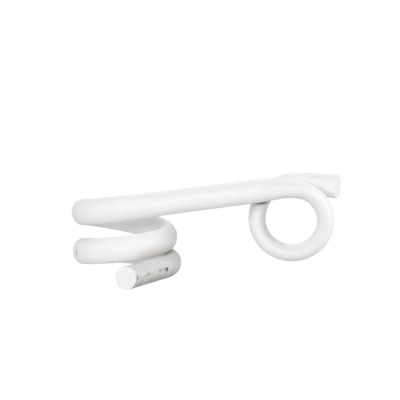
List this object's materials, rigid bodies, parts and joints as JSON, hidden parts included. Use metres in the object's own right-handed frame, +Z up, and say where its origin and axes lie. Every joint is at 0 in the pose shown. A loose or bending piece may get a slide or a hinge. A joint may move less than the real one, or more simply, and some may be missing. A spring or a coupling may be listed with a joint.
{
  "type": "pigtail fence insulator",
  "caption": "One solid plastic rod bent into a coil that grips a round post, a straight arm and a closed eye that holds a fence wire off the post.",
  "frame": {"origin": "on the axis of the post that the coil grips, half-way up the coil", "axes": "+Z up along the post, +X the way the arm stands off, -Y the front, where the arm and the stub leave the coil"},
  "size_m": [0.0997, 0.0619, 0.0371],
  "materials": {
    "rod": "satin"
  },
  "bodies": {
    "root": {"pigtail_rod": "rod"}
  },
  "joints": []
}
